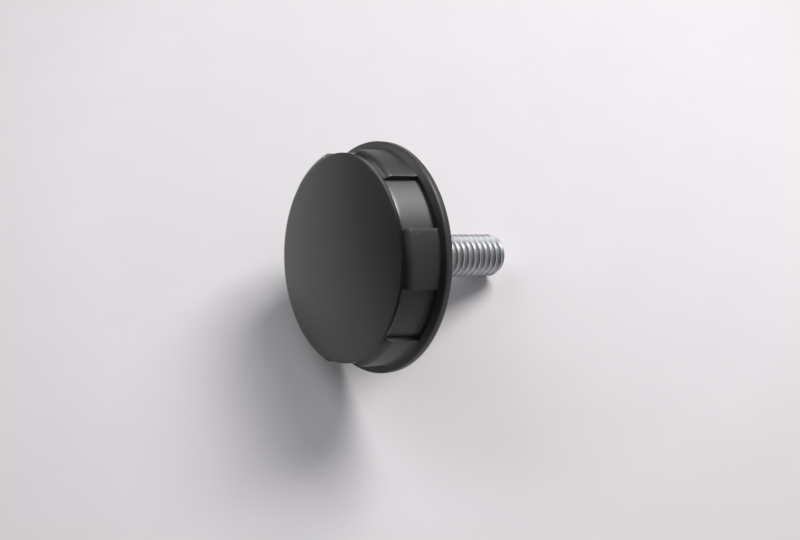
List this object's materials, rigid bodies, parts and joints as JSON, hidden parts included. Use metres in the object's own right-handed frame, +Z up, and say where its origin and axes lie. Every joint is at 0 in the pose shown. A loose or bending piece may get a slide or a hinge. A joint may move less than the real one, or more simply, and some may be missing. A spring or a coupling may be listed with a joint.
{
  "type": "thumb screw",
  "caption": "Thumb screw with a flanged, lobed black plastic head with a domed face, moulded onto a short metric steel screw; it lies on the flange rim and the screw's tip.",
  "frame": {"origin": "on the floor, at the bottom centre of the lying part's bounding box", "axes": "+X horizontal, the way the screw points as it slopes down to the floor; +Z up, away from the floor; +Y horizontal, across the screw"},
  "size_m": [0.0308, 0.03, 0.0275],
  "materials": {
    "head_plastic": "satin moulded black plastic with a fine spark-eroded texture",
    "screw_steel": "bright zinc-plated rolled thread"
  },
  "bodies": {
    "root": {"head": "head_plastic", "threaded_stud": "screw_steel"}
  },
  "joints": []
}
